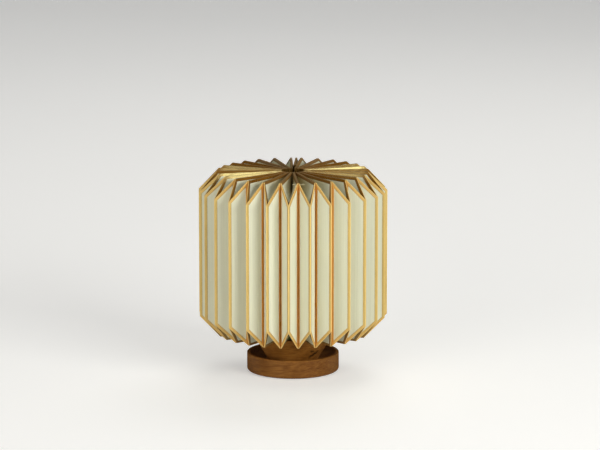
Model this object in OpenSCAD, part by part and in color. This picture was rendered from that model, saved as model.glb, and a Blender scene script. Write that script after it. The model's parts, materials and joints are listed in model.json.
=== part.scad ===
// Book lamp: a pleated paper and veneer shade that opens like a book through a full circle and
// stands on the rim of a turned wooden bowl, which is screwed into a dished wooden base.
// The front of the lamp faces -Y, and the table is at z = 0.

/* [Shade] */
// Number of open pages round the spine
pleats = 27; // [21:1:27]
// Number of pages at the back that stay all but shut
shut_pleats = 2; // [0:1:3]
// Angle that a shut page takes up
shut_angle = 3.9; // [3.8:0.1:5]
// Radius of the outer folds
shade_r = 96; // [90:1:104]
// Radius of the inner folds
fold_r = 77; // [72:1:82]
// Height over the ridges
shade_h = 168; // [140:1:220]
// Drop from the ridges to the reversed outer folds
shoulder = 20; // [14:1:26]
// Radius at which the upper leaves end round the spine
hub_r = 12; // [11:0.5:16]
// Clearance between the lower leaves' ends and the diffuser
collar_gap = 1; // [0.5:0.1:3]
// Thickness of a leaf, veneer and paper together
leaf_t = 0.8; // [0.6:0.05:1]
// Thickness of the veneer frame on a leaf
veneer_t = 0.3; // [0.2:0.05:0.4]
// Width of the veneer frame round each paper window
border = 2.7; // [1.5:0.1:3.5]
// Gap between neighbouring pages along their inner folds
fold_gap = 0.3; // [0.2:0.05:0.5]
// Gap between the ridges and the bowl's rim that carries them
seat_gap = 0.3; // [0.2:0.05:0.5]
// Seam between the last page and the first, in degrees right of the front
seam_angle = 4; // [0:0.5:12]

/* [Threads] */
// Diameter of the binding threads
thread_d = 1; // [0.6:0.1:1.4]
// Distance of the binding threads from the leaves' inner ends
thread_inset = 2.4; // [2.2:0.1:4]
// Distance of the binding threads from the ridges
thread_drop = 5; // [4:0.5:8]
// Radial clearance of the thread holes
thread_gap = 0.4; // [0.3:0.05:0.6]
// Diameter of the tie through the seam
tie_d = 0.7; // [0.5:0.1:1]
// Length of the tie
tie_len = 11; // [8:0.5:16]
// Distance of the tie from the inner fold
tie_inset = 2; // [1.5:0.1:4]
// Distance of the tie below the ridge
tie_drop = 1.5; // [1.2:0.1:3]

/* [Base] */
// Radius of the dished base
base_r = 47; // [42:0.5:60]
// Depth of the dish
dish_depth = 8.4; // [6.5:0.1:9]
// Thickness of the wood under the dish
dish_floor_t = 3.4; // [2.5:0.1:4]
// Radius of the dish's flat floor
dish_floor_r = 27; // [24:0.5:30]
// Width of the flat rim round the dish
base_rim_w = 2; // [1:0.1:4]
// Radius of the round-over at the base's lower edge
base_round = 2.5; // [1:0.1:3]
// Radius of the round-over at the base's upper edge
base_edge = 0.8; // [0.4:0.1:1.5]
// Thickness of the felt pad underneath
pad_t = 0.8; // [0.6:0.1:1.5]
// Distance of the pad's edge inside the cover's edge
pad_inset = 2; // [1:0.1:3]
// Distance of the metal cover's edge inside the base's edge
cover_inset = 7; // [6:0.1:8]
// Thickness of the metal cover
cover_t = 1.5; // [1.2:0.1:1.8]
// Width of the seat that the cover is screwed to
cover_seat_w = 7; // [6:0.1:8]

/* [Bowl] */
// Radius of the bowl's foot
bowl_foot_r = 25; // [22:0.1:26]
// Height of the bowl above the dish's floor
bowl_h = 28; // [25:0.1:32]
// Outer radius of the bowl's rim
rim_r = 41.5; // [38:0.1:44]
// Width of the rim round the LED plate
rim_w = 5.7; // [5:0.1:6.5]
// Wall of the bowl, measured level
bowl_wall = 4.5; // [4:0.1:5]
// Thickness of the bowl's floor
bowl_floor = 4; // [3.6:0.1:4.5]
// Depth of the LED plate's top below the bowl's rim
plate_sink = 1; // [0.9:0.05:1.4]
// Width of the ledge that carries the LED plate
ledge_w = 5; // [4.6:0.1:5.5]

/* [Light] */
// Thickness of the aluminium LED plate
plate_t = 2; // [1.5:0.1:2.5]
// Width of the LED plate outside the diffuser, which takes its screws
plate_land = 4.8; // [4.7:0.1:5.4]
// Radius of the LED board
led_board_r = 15; // [13.5:0.1:15.5]
// Thickness of the LED board
led_board_t = 1.6; // [1:0.1:2]
// Number of LEDs
led_count = 10; // [6:1:12]
// Radius of the ring of LEDs
led_ring_r = 10; // [8:0.1:11]
// Length, width and height of one LED
led_size = [3.5, 2.8, 0.8];
// Wall of the opal diffuser
diffuser_wall = 1.5; // [1:0.1:2]
// Height of the diffuser's straight skirt
skirt_h = 6; // [4:0.5:10]
// Height of the ring on the LED plate that locates the skirt
spigot_h = 1.5; // [1:0.1:1.8]
// Thickness of that ring
spigot_t = 1.3; // [1:0.1:1.6]

/* [Electronics] */
// Length, width and height of the battery
battery = [32, 22, 11];
// Thickness of the foam pad under the battery
foam_t = 1; // [0.5:0.1:1.5]
// Clearance round the main board
board_gap = 2; // [1.5:0.1:3]
// Thickness of the main board
board_t = 1.2; // [1:0.1:1.4]
// Space between the cover and the main board
under_board = 1.1; // [1:0.1:1.4]
// Height of the spacers above the main board
spacer_h = 3.1; // [2.5:0.1:3.2]
// Outer diameter of the spacers
spacer_d = 5; // [4.5:0.1:6]
// Width, depth and height of the charging socket
usb_size = [9, 7.3, 3.2];
// Wall of the charging socket's shell
usb_shell = 0.35; // [0.25:0.05:0.5]
// Width, depth and height of the tongue inside the socket
usb_tongue = [6.6, 5.3, 0.7];
// Width, depth and height of the switch's body
switch_size = [6.4, 6, 3.6];
// Length, width and height of the controller chip, and its place on the board
controller = [7, 7, 1];
controller_at = [-11, 2];
// Length, width and height of the memory chip, and its place
memory = [5, 4, 1.1];
memory_at = [-10, 12];
// Length, width and height of the coil, and its place
coil = [6, 6, 1.8];
coil_at = [8, -4];
// Length, width and height of the regulator, and its place
regulator = [3, 6, 1];
regulator_at = [10, 13];
// Length, width and height of a small resistor, and the place of their row
resistor = [1.6, 0.8, 0.6];
resistor_at = [0, -12];
// Number of resistors in the row
resistors = 7; // [3:1:9]
// Space from one resistor to the next
resistor_pitch = 3; // [2:0.1:3.5]
// Diameter of the two tall capacitors
capacitor_d = 3.5; // [3:0.1:4]
// Height of the tall capacitors
capacitor_h = 2.2; // [1.8:0.1:2.3]
// Distance between the tall capacitors
capacitor_pitch = 8; // [6:0.1:10]
// Diameter of a wire
wire_d = 1.2; // [1:0.1:1.4]
// Distance between the two wires of a pair
wire_pitch = 1.6; // [1.5:0.1:2]
// Distance between the battery's pair and the LED board's
pair_pitch = 1.9; // [1.6:0.1:2.2]
// Radius of the hole that the wires rise through
wire_hole_r = 2.6; // [2.3:0.1:3]

/* [Rear panel] */
// Width of the rear panel
panel_w = 24; // [23:0.1:26]
// Height of the rear panel
panel_h = 6.4; // [6:0.1:7]
// Depth of the rear panel, from the base's outer face
panel_depth = 4; // [3.6:0.1:4.4]
// How far the panel's face lies inside the base's outer face
panel_sink = 0.2; // [0:0.05:0.5]
// Sideways place of the charging socket
usb_x = -5.4; // [-6:0.1:-5]
// Sideways place of the button
button_x = 5.8; // [5.2:0.1:6.4]
// Diameter of the button
button_d = 5; // [4:0.1:5.2]
// How far the button stands out of the base
button_out = 1; // [0.8:0.1:2]
// Travel of the button
button_travel = 0.8; // [0.5:0.05:0.9]
// Width and thickness of the button's flange
flange = [0.6, 0.7];
// Diameter of the button's stem
stem_d = 2.4; // [2:0.1:2.6]
// How far the stem reaches into the switch
stem_in = 2.8; // [2:0.1:3]
// Space between the switch and the panel
switch_gap = 2.4; // [2:0.1:3]
// Diameter of the charge light
light_d = 1.6; // [1.2:0.1:2]

/* [Screws] */
// Shank diameter of every screw
screw_d = 2.5; // [2:0.1:2.6]
// Head diameter of every screw
head_d = 4.2; // [3.8:0.1:4.4]
// Head height of every screw
head_h = 0.9; // [0.7:0.05:0.95]
// Depth to which a screw bites into the wood
bite = 3; // [2:0.1:3.2]
// The same for the short screws that carry the board
board_bite = 2; // [1.5:0.1:2.3]

/* [Hidden] */
fit = 0.2;              // gap round parts that drop into a seat
running = 0.15;         // radial clearance of what slides
screw_fit = 0.05;       // radial clearance of a screw in its hole
through = 0.5;          // overshoot of a cutting tool
leaf_steps = 2;         // straight stretches along an upper or lower leaf
thread_sides = 8;
screw_angles = [30, 150, 270];
screw_edge = 5;         // distance of the board's screws from its edge
foot_screw_in = 8.5;    // distance of the bowl's screws inside its foot's edge
tip_r = 0.6;            // edge round of the bowl's rim
$fn = 96;

// Colours
veneer = "burlywood";
walnut = "peru";
steel = "silver";

// Bowl and light, from the rim inwards
recess_r = rim_r - rim_w;
plate_r = recess_r - fit;
diffuser_r = plate_r - plate_land;
skirt_r = diffuser_r - diffuser_wall;
plate_screw_r = plate_r - plate_land / 2;
cavity_r = recess_r - ledge_w;

// Base, from the edge inwards
dish_r = base_r - base_edge - base_rim_w;
panel_face = base_r - panel_sink;
panel_back = base_r - panel_depth;
cover_r = base_r - cover_inset;
rebate_r = cover_r + fit;
pad_r = cover_r - pad_inset;
pocket_r = cover_r - cover_seat_w;
cover_screw_r = cover_r - cover_seat_w / 2;
board_r = pocket_r - board_gap;
board_screw_r = board_r - screw_edge;
bowl_screw_r = bowl_foot_r - foot_screw_in;

// Heights, from the table up
cover_z = pad_t;
cover_top = cover_z + cover_t;
board_z = cover_top + under_board;
board_top = board_z + board_t;
panel_z = board_top + usb_size.z / 2;
roof_z = board_top + spacer_h;
floor_z = roof_z + dish_floor_t;
base_top = floor_z + dish_depth;
bowl_bottom = floor_z + bowl_floor;
battery_z = bowl_bottom + foam_t;
rim_z = floor_z + bowl_h;
plate_top = rim_z - plate_sink;
ledge_z = plate_top - plate_t;
led_z = plate_top + led_board_t;
shade_z = rim_z + seat_gap;

// Shade
page_count = pleats + shut_pleats;
first_shut = floor(pleats / 2) + 1;
open_angle = (360 - shut_pleats * shut_angle) / pleats;
foot_r = diffuser_r + collar_gap;
top_thread_r = hub_r + thread_inset;
foot_thread_r = foot_r + thread_inset;

// Switch, socket and charge light behind the rear panel
switch_front = panel_back - switch_gap;
tongue_lip = 0.4;       // the board's tongue reaches so far in front of the switch
tongue_end = switch_front + tongue_lip;
tongue_side = 0.1;      // edge of the tongue beside the socket
tongue_w = 2 * (max(usb_size.x / 2 - usb_x, button_x + switch_size.x / 2) + tongue_side);
notch_w = tongue_w + 2 * fit;
usb_lip = 0.5;          // the socket's mouth reaches so far past the board
usb_front = tongue_end + usb_lip;
usb_back = 1;           // end wall of the socket
flange_back = panel_back - running - flange.y;
light_x = (usb_x + usb_size.x / 2 + button_x - button_d / 2) / 2;
light_lip = 0.6;        // the charge light reaches so far behind the panel
light_sink = 0.3;       // and ends so far inside its face

// Wires
wire_y = battery.y / 2 + 3 * wire_d + wire_hole_r;
battery_pair_y = wire_y - pair_pitch / 2;
led_pair_y = wire_y + pair_pitch / 2;
wire_lift = 0.05;       // clearance under a wire that lies on something
battery_reach = 5;      // how far the wires lie on the battery
led_reach = 2.5;        // and on the LED board

function page_name(k) = str("page_", k < 10 ? "0" : "", k);
page_names = [for (k = [1:page_count]) page_name(k)];

// ---- A leaf of the shade ----------------------------------------------------------------------
// A page is one sheet folded along its outer fold, so it has two leaves that mirror each other.
// A leaf has three panels: the upright side, and an upper and a lower panel that are folded back
// inside it along creases at 45 degrees. Their outlines are drawn in the page's own plane as
// [radius, height], and each panel then stands off that plane as its folds ask. The upper and
// lower panels are twisted, because their ridge and their valley both run to the spine.

function mix(a, b, t) = a + (b - a) * t;
function unit(v) = v / norm(v);
function left_of(v) = [-v.y, v.x];

// Points from a to b, one at each step.
function run(a, b) = [for (i = [0:leaf_steps]) mix(a, b, i / leaf_steps)];

// A counter-clockwise loop moved inwards by w.
function inset(loop, w) = let (n = len(loop)) [
    for (i = [0:n - 1])
        let (
            before = left_of(unit(loop[i] - loop[(i + n - 1) % n])),
            after = left_of(unit(loop[(i + 1) % n] - loop[i]))
        )
        loop[i] + (before + after) * w / (1 + before * after)
];

// A page takes up an angle a round the spine. Its inner folds lie at radius fold_x(a).
function fold_x(a) = fold_r * cos(a / 2);

// Half of a page's width at radius r, to the middle of the leaf.
function half_w(r, a) = r * tan(a / 2) - (fold_gap + leaf_t) / 2;

// An upper or lower panel ends at radius r, or further out where a shut page's leaves would touch.
function end_r(r, a) = max(r, (leaf_t + fold_gap) / tan(a / 2));

// How far the middle of a panel stands off the page's plane.
function side_off(p, a) = half_w(fold_x(a), a) * (shade_r - p.x) / (shade_r - fold_x(a));
function top_off(p, a) = half_w(p.x, a) * (p.y - shade_h + shoulder) / shoulder;
function foot_off(p, a) = half_w(p.x, a) * (shoulder - p.y) / shoulder;

function side_loop(x) = [[x, 0], [shade_r, shoulder], [shade_r, shade_h - shoulder], [x, shade_h]];
function top_loop(x, end) = concat(
    run([end, shade_h - shoulder], [shade_r, shade_h - shoulder]),
    run([x, shade_h], [end, shade_h])
);
function foot_loop(x, end) = concat(
    run([end, 0], [x, 0]),
    run([shade_r, shoulder], [end, shoulder])
);

// Triangles between two loops of n points, which start at index a and b.
function band(a, b, n) = [
    for (i = [0:n - 1])
        let (j = (i + 1) % n)
            for (f = [[a + i, a + j, b + i], [a + j, b + j, b + i]]) f
];

// Triangles that close a loop of n points, from one long edge across to the other.
function web(a, n) = [
    for (i = [0:n / 2 - 2])
        let (j = n - 1 - i)
            for (f = [[a + i, a + i + 1, a + j], [a + i + 1, a + j - 1, a + j]]) f
];

function flipped(faces) = [for (f = faces) [f[2], f[1], f[0]]];

// One panel: a sheet with a veneer frame round its paper window, on the side that face gives.
module panel(loop, off, face) {
    n = len(loop);
    window = inset(loop, border);
    function lifted(points, h) = [for (p = points) [p.x, off(p) + face * h, p.y]];
    points = concat(
        lifted(loop, leaf_t / 2),
        lifted(window, leaf_t / 2),
        lifted(window, leaf_t / 2 - veneer_t),
        lifted(loop, -leaf_t / 2)
    );
    faces = concat(
        band(0, n, n),
        band(n, 2 * n, n),
        web(2 * n, n),
        flipped(band(0, 3 * n, n)),
        flipped(web(3 * n, n))
    );
    polyhedron(points, face > 0 ? faces : flipped(faces));
}

module leaf(a) {
    panel(side_loop(fold_x(a)), function(p) side_off(p, a), 1);
    panel(top_loop(fold_x(a), end_r(hub_r, a)), function(p) top_off(p, a), -1);
    panel(foot_loop(fold_x(a), end_r(foot_r, a)), function(p) foot_off(p, a), -1);
}

function is_shut(k) = k >= first_shut && k < first_shut + shut_pleats;
function page_angle(k) = is_shut(k) ? shut_angle : open_angle;

// Angle from the seam to the far side of page k.
function angle_after(k) = k == 0 ? 0 : angle_after(k - 1) + page_angle(k);

// Turn that brings +X to an angle to the right of the seam.
function seam_turn(angle) = [0, 0, seam_angle - 90 + angle];

module page(k) {
    color(veneer)
        difference() {
            rotate(seam_turn(angle_after(k) - page_angle(k) / 2))
                translate([0, 0, shade_z])
                    for (side = [0, 1]) mirror([0, side, 0]) leaf(page_angle(k));
            thread_ring(top_thread_r, shade_z + shade_h - thread_drop, thread_d / 2 + thread_gap);
            thread_ring(foot_thread_r, shade_z + thread_drop, thread_d / 2 + thread_gap);
            if (k == 1 || k == page_count) at_seam_tie() tie_rod(tie_d / 2 + running, tie_len);
        }
}

// ---- Threads ----------------------------------------------------------------------------------

module thread_ring(r, z, thick) {
    translate([0, 0, z]) rotate_extrude() translate([r, 0]) circle(thick, $fn = thread_sides);
}

module top_thread() {
    color("wheat") thread_ring(top_thread_r, shade_z + shade_h - thread_drop, thread_d / 2);
}

module bottom_thread() {
    color("wheat") thread_ring(foot_thread_r, shade_z + thread_drop, thread_d / 2);
}

module at_seam_tie() {
    rotate(seam_turn(0)) translate([fold_r - tie_inset, 0, shade_z + shade_h - tie_drop]) children();
}

module tie_rod(r, length) {
    rotate([90, 0, 0]) cylinder(r = r, h = length, center = true, $fn = 24);
}

// A short thread through the last page and the first, with a knot on the first page's side.
module seam_tie() {
    color("wheat")
        at_seam_tie() {
            tie_rod(tie_d / 2, tie_len);
            translate([0, tie_len / 2, 0]) sphere(tie_d, $fn = 24);
        }
}

// ---- Shapes shared by several parts -----------------------------------------------------------

// The corner left outside a quarter circle, with its point at [r, r].
module corner(r) {
    difference() {
        square(r);
        circle(r);
    }
}

module ring_of(angles, r) {
    for (a = angles) rotate(a) translate([r, 0, 0]) children();
}

// A screw whose head rests on z = 0 and whose shank points up.
module screw(length) {
    slot = head_d / 6;
    slot_depth = head_h / 2;
    difference() {
        union() {
            translate([0, 0, -head_h]) cylinder(d = head_d, h = head_h, $fn = 32);
            cylinder(d = screw_d, h = length, $fn = 32);
        }
        for (turn = [0, 90])
            rotate(turn)
                translate([-head_d / 4, -slot / 2, -head_h - through])
                    cube([head_d / 2, slot, through + slot_depth]);
    }
}

module screw_hole(length) {
    cylinder(d = screw_d + 2 * screw_fit, h = length, $fn = 32);
}

// An upright slot with round ends, along Y from y0 to y1.
module slot_along_y(w, h, y0, y1) {
    for (side = [-1, 1])
        translate([side * (w - h) / 2, y0, 0]) rotate([-90, 0, 0]) cylinder(d = h, h = y1 - y0, $fn = 48);
    translate([-(w - h) / 2, y0, -h / 2]) cube([w - h, y1 - y0, h]);
}

module rod_along_y(d, y0, y1) {
    translate([0, y0, 0]) rotate([-90, 0, 0]) cylinder(d = d, h = y1 - y0, $fn = 48);
}

// ---- Base -------------------------------------------------------------------------------------

module dish_void() {
    rise = base_top - floor_z;
    run_out = dish_r - dish_floor_r;
    cove_r = (run_out * run_out + rise * rise) / (2 * rise);
    translate([0, floor_z]) square([dish_floor_r, rise + through]);
    intersection() {
        translate([dish_floor_r, floor_z + cove_r]) circle(cove_r);
        translate([dish_floor_r, floor_z]) square([run_out, rise]);
    }
    translate([0, base_top]) square([dish_r, through]);
}

module base_profile() {
    difference() {
        translate([0, cover_z]) square([base_r, base_top - cover_z]);
        translate([base_r - base_round, cover_z + base_round]) mirror([0, 1]) corner(base_round);
        translate([base_r - base_edge, base_top - base_edge]) corner(base_edge);
        dish_void();
        square([rebate_r, cover_top]);
        square([pocket_r, roof_z]);
    }
}

module base_dish() {
    notch_top = panel_z + panel_h / 2 + fit;
    color(walnut)
        difference() {
            rotate_extrude() base_profile();
            // notch for the board's tongue, and the opening for the rear panel
            translate([-notch_w / 2, 0, cover_z]) cube([notch_w, tongue_end + fit, notch_top - cover_z]);
            translate([0, 0, panel_z])
                slot_along_y(panel_w + 2 * fit, panel_h + 2 * fit, tongue_end, base_r + through);
            ring_of(screw_angles, cover_screw_r)
                translate([0, 0, cover_top]) screw_hole(bite);
            ring_of(screw_angles, board_screw_r)
                translate([0, 0, roof_z - through]) screw_hole(through + board_bite);
            ring_of(screw_angles, bowl_screw_r)
                translate([0, 0, roof_z - through]) screw_hole(dish_floor_t + 2 * through);
            translate([0, wire_y, roof_z - through])
                cylinder(r = wire_hole_r, h = dish_floor_t + 2 * through);
        }
}

module base_cover() {
    color(steel)
        difference() {
            translate([0, 0, cover_z]) cylinder(r = cover_r, h = cover_t);
            ring_of(screw_angles, cover_screw_r) {
                translate([0, 0, cover_z - through]) screw_hole(cover_t + 2 * through);
                translate([0, 0, cover_z - through])
                    cylinder(d = head_d + fit, h = head_h + through, $fn = 32);
            }
        }
}

module base_pad() {
    color("dimgray")
        difference() {
            cylinder(r = pad_r, h = pad_t);
            ring_of(screw_angles, cover_screw_r)
                translate([0, 0, -through])
                    cylinder(d = head_d + 2 * fit, h = pad_t + 2 * through, $fn = 32);
        }
}

module cover_screws() {
    color(steel)
        ring_of(screw_angles, cover_screw_r)
            translate([0, 0, cover_z + head_h]) screw(cover_t - head_h + bite - fit);
}

// ---- Electronics ------------------------------------------------------------------------------

module main_board() {
    color("darkgreen")
        difference() {
            translate([0, 0, board_z])
                linear_extrude(board_t)
                    union() {
                        circle(board_r);
                        translate([-tongue_w / 2, 0]) square([tongue_w, tongue_end]);
                    }
            ring_of(screw_angles, board_screw_r)
                translate([0, 0, board_z - through]) screw_hole(board_t + 2 * through);
        }
}

// A part on the board, with its middle at a place.
module on_board(place, size) {
    translate([place.x - size.x / 2, place.y - size.y / 2, 0]) cube(size);
}

// What is soldered to the board: chips, a coil, resistors and capacitors.
module board_parts() {
    color("dimgray")
        translate([0, 0, board_top]) {
            on_board(controller_at, controller);
            on_board(memory_at, memory);
            on_board(coil_at, coil);
            on_board(regulator_at, regulator);
            for (i = [0:resistors - 1])
                on_board(resistor_at + [(i - (resistors - 1) / 2) * resistor_pitch, 0], resistor);
            for (side = [-1, 1])
                translate([side * capacitor_pitch / 2, board_r - screw_edge, 0])
                    cylinder(d = capacitor_d, h = capacitor_h, $fn = 32);
        }
}

module board_spacers() {
    color("white")
        ring_of(screw_angles, board_screw_r)
            translate([0, 0, board_top])
                difference() {
                    cylinder(d = spacer_d, h = spacer_h, $fn = 32);
                    translate([0, 0, -through]) screw_hole(spacer_h + 2 * through);
                }
}

module board_screws() {
    color(steel)
        ring_of(screw_angles, board_screw_r)
            translate([0, 0, board_z]) screw(board_t + spacer_h + board_bite - fit);
}

module usb_socket() {
    color(steel)
        translate([usb_x, 0, panel_z])
            difference() {
                slot_along_y(usb_size.x, usb_size.z, usb_front - usb_size.y, usb_front);
                slot_along_y(
                    usb_size.x - 2 * usb_shell, usb_size.z - 2 * usb_shell,
                    usb_front - usb_size.y + usb_back, usb_front + through
                );
            }
    color("black")
        translate([usb_x, usb_front - usb_size.y + usb_back / 2, panel_z - usb_tongue.z / 2])
            translate([-usb_tongue.x / 2, 0, 0]) cube(usb_tongue);
}

module switch_body() {
    well_end = switch_front - stem_in - button_travel - fit;
    color("black")
        difference() {
            translate([button_x - switch_size.x / 2, switch_front - switch_size.y, board_top])
                cube(switch_size);
            translate([button_x, 0, panel_z])
                rod_along_y(stem_d + 2 * running, well_end, switch_front + through);
        }
}

// A round cap with a flange behind the panel and a stem that works the switch.
module power_button() {
    color("whitesmoke")
        translate([button_x, 0, panel_z]) {
            rod_along_y(button_d, flange_back, base_r + button_out);
            rod_along_y(button_d + 2 * flange.x, flange_back, flange_back + flange.y);
            rod_along_y(stem_d, switch_front - stem_in, flange_back + flange.y);
        }
}

module rear_panel() {
    color("whitesmoke")
        difference() {
            intersection() {
                translate([0, 0, panel_z]) slot_along_y(panel_w, panel_h, panel_back, base_r);
                cylinder(r = panel_face, h = base_top);
            }
            translate([usb_x, 0, panel_z])
                slot_along_y(usb_size.x + fit, usb_size.z + fit, panel_back - through, base_r);
            translate([button_x, 0, panel_z])
                rod_along_y(button_d + 2 * running, panel_back - through, base_r);
            translate([light_x, 0, panel_z])
                rod_along_y(light_d + 2 * screw_fit, panel_back - through, base_r);
        }
}

module charge_light() {
    color("white")
        translate([light_x, 0, panel_z])
            rod_along_y(light_d, panel_back - light_lip, panel_face - light_sink);
}

module battery() {
    color("lightsteelblue")
        translate([-battery.x / 2, -battery.y / 2, battery_z]) cube(battery);
}

module battery_pad() {
    color("dimgray")
        translate([-battery.x / 2 + foam_t, -battery.y / 2 + foam_t, bowl_bottom])
            cube([battery.x - 2 * foam_t, battery.y - 2 * foam_t, foam_t]);
}

// A wire that rises from the main board, bends towards the axis at height top and ends at y_end.
module lead(x, y, top, y_end) {
    bend = 1.5 * wire_d;
    translate([x, y, board_top]) cylinder(d = wire_d, h = top - bend - board_top, $fn = 24);
    translate([x, y - bend, top - bend])
        rotate([90, 0, 90])
            rotate_extrude(angle = 90, $fn = 48) translate([bend, 0]) circle(d = wire_d, $fn = 24);
    translate([x, 0, top]) rod_along_y(wire_d, y_end, y - bend);
}

module battery_leads() {
    color("firebrick")
        for (side = [-1, 1])
            lead(
                side * wire_pitch / 2, battery_pair_y,
                battery_z + battery.z + wire_d / 2 + wire_lift, battery.y / 2 - battery_reach
            );
}

module led_leads() {
    color("gainsboro")
        for (side = [-1, 1])
            lead(
                side * wire_pitch / 2, led_pair_y,
                led_z + wire_d / 2 + wire_lift, led_board_r - led_reach
            );
}

// ---- Bowl and light ---------------------------------------------------------------------------

function bowl_r(z) = mix(bowl_foot_r, rim_r, (z - floor_z) / bowl_h);

module bowl_profile() {
    slope = bowl_h / (rim_r - bowl_foot_r);
    cone_top = min(ledge_z, floor_z + (cavity_r + bowl_wall - bowl_foot_r) * slope);
    difference() {
        polygon([
            [0, floor_z], [bowl_foot_r, floor_z], [bowl_r(rim_z - tip_r), rim_z - tip_r],
            [rim_r - tip_r, rim_z], [0, rim_z]
        ]);
        polygon([
            [0, bowl_bottom], [bowl_r(bowl_bottom) - bowl_wall, bowl_bottom], [cavity_r, cone_top],
            [cavity_r, ledge_z], [recess_r, ledge_z], [recess_r, rim_z + through], [0, rim_z + through]
        ]);
    }
}

module bowl() {
    color(walnut)
        difference() {
            rotate_extrude() bowl_profile();
            ring_of(screw_angles, bowl_screw_r)
                translate([0, 0, floor_z - through]) screw_hole(through + bite);
            ring_of(screw_angles, plate_screw_r)
                translate([0, 0, ledge_z - bite]) screw_hole(bite + through);
            translate([0, wire_y, floor_z - through])
                cylinder(r = wire_hole_r, h = bowl_floor + 2 * through);
        }
}

module bowl_screws() {
    color(steel)
        ring_of(screw_angles, bowl_screw_r)
            translate([0, 0, roof_z]) screw(dish_floor_t + bite - fit);
}

module led_plate() {
    color(steel)
        difference() {
            union() {
                translate([0, 0, ledge_z]) cylinder(r = plate_r, h = plate_t);
                translate([0, 0, plate_top]) cylinder(r = skirt_r - running, h = spigot_h);
            }
            translate([0, 0, plate_top]) cylinder(r = skirt_r - running - spigot_t, h = spigot_h + through);
            ring_of(screw_angles, plate_screw_r)
                translate([0, 0, ledge_z - through]) screw_hole(plate_t + 2 * through);
            translate([0, led_pair_y, ledge_z - through])
                cylinder(d = wire_pitch + wire_d + 2 * fit, h = plate_t + 2 * through);
        }
}

module plate_screws() {
    color(steel)
        ring_of(screw_angles, plate_screw_r)
            translate([0, 0, plate_top]) mirror([0, 0, 1]) screw(plate_t + bite - fit);
}

module led_board() {
    color("white") translate([0, 0, plate_top]) cylinder(r = led_board_r, h = led_board_t);
}

module leds() {
    color("khaki")
        for (i = [0:led_count - 1])
            rotate(90 + (i + 0.5) * 360 / led_count)
                translate([led_ring_r - led_size.x / 2, -led_size.y / 2, led_z]) cube(led_size);
}

module dome(r, skirt) {
    cylinder(r = r, h = skirt);
    translate([0, 0, skirt])
        intersection() {
            sphere(r);
            translate([-r, -r, 0]) cube([2 * r, 2 * r, r]);
        }
}

module diffuser() {
    color("ivory")
        translate([0, 0, plate_top])
            difference() {
                dome(diffuser_r, skirt_h);
                translate([0, 0, -through]) dome(skirt_r, skirt_h + through);
            }
}

// ---- Nodes ------------------------------------------------------------------------------------

for (k = [1:page_count])
    page(k);
top_thread();
bottom_thread();
seam_tie();
base_dish();
base_cover();
base_pad();
cover_screws();
main_board();
board_parts();
board_spacers();
board_screws();
usb_socket();
switch_body();
power_button();
rear_panel();
charge_light();
bowl();
bowl_screws();
battery();
battery_pad();
battery_leads();
led_leads();
led_plate();
plate_screws();
led_board();
leds();
diffuser();
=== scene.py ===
"""The looks of a book lamp: a pleated shade of paper and veneer on a turned wooden bowl and base.

Sizes are in metres. The front of the lamp faces -Y, and the table is at z = 0.
"""

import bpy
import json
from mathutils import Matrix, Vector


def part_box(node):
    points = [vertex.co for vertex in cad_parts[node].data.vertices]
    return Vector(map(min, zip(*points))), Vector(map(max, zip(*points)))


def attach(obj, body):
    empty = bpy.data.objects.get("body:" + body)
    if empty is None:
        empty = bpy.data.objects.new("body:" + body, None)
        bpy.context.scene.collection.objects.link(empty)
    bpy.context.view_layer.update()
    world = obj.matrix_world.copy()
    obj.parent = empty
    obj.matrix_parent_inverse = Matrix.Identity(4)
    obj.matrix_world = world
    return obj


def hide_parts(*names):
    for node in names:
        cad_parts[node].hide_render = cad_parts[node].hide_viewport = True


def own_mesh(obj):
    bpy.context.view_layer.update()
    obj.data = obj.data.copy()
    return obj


bl_info = {
    "name": "Book Lamp",
    "version": (1, 0, 0),
    "blender": (4, 5, 0),
    "location": "View3D > Sidebar > Book Lamp",
    "description": "Dresses a pleated table lamp that opens like a book",
    "category": "Object",
}

import json
import math

import bmesh
import bpy
from bpy.props import FloatProperty, FloatVectorProperty, PointerProperty
from mathutils import Matrix, Vector

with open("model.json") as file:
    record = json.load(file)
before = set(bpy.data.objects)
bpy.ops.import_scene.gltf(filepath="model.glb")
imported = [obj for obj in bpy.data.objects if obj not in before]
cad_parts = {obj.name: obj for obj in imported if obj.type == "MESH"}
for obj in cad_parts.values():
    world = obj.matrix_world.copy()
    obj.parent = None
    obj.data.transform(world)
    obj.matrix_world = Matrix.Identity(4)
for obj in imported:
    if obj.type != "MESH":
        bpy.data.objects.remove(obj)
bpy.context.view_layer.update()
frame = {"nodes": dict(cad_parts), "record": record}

ORIGIN = (0, 0, 0)
TOLERANCE = 0.0002  # within which a point is where a test wants it
NODES = frame["nodes"]
BODIES = frame["record"]["behaviour"]["bodies"]
BODY_OF = {node: body for body, nodes in BODIES.items() for node in nodes}
PAGES = sorted(name for name in NODES if name.startswith("page_"))
PAGE_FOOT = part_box(PAGES[0])[0].z
PAGE_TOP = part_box(PAGES[0])[1].z
PAGE_HEIGHT = PAGE_TOP - PAGE_FOOT
PAGE_MIDDLE = (PAGE_FOOT + PAGE_TOP) / 2


def reach(node, test=max, where=lambda p: True):
    """The largest or smallest distance of a node's points from the axis, to a tenth of a millimetre."""
    return round(test(math.hypot(v.co.x, v.co.y) for v in NODES[node].data.vertices if where(v.co)), 4)


OUTER_RADIUS = reach(PAGES[1])
HUB_RADIUS = reach(PAGES[1], min)
FOOT_RADIUS = reach(PAGES[1], min, lambda p: p.z < PAGE_MIDDLE)
SHUT = [name for name in PAGES if reach(name, min) > 2 * HUB_RADIUS]
SHUT_RADIUS = reach(SHUT[0], min)


# ---- Sizes and colours -------------------------------------------------------------------------

def length(name, description, default):
    return FloatProperty(name=name, description=description, default=default, min=0.0, unit="LENGTH")


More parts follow.
